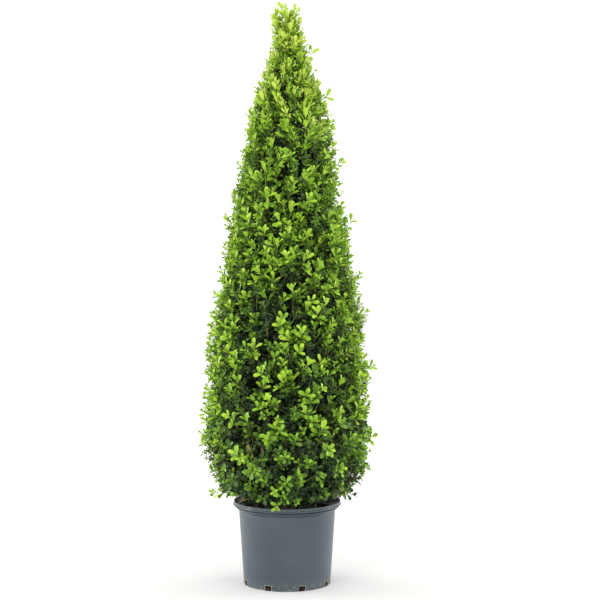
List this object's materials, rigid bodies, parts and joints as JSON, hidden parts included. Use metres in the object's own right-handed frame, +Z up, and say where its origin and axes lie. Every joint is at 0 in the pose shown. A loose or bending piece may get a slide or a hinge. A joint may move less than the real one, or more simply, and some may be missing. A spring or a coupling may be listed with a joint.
{
  "type": "potted box cone topiary",
  "caption": "Evergreen shrub clipped into a tall cone, in a tapered plastic nursery pot with a stepped rim and drainage notches.",
  "frame": {"origin": "middle of the pot's flat underside, at the level of the floor it stands on", "axes": "+Z up along the stem, -Y towards the front, +X to the right seen from the front"},
  "size_m": [0.4588, 0.4504, 1.5171],
  "materials": {
    "pot_plastic": "matte",
    "compost": "matte",
    "bark": "matte",
    "leaves_skirt": "satin",
    "leaves_lower": "satin",
    "leaves_middle": "satin",
    "leaves_upper": "satin",
    "leaves_spire": "satin"
  },
  "bodies": {
    "root": {"pot": "pot_plastic", "compost": "compost", "stem": "bark", "foliage_skirt": "leaves_skirt", "foliage_lower": "leaves_lower", "foliage_middle": "leaves_middle", "foliage_upper": "leaves_upper", "foliage_spire": "leaves_spire"}
  },
  "joints": []
}
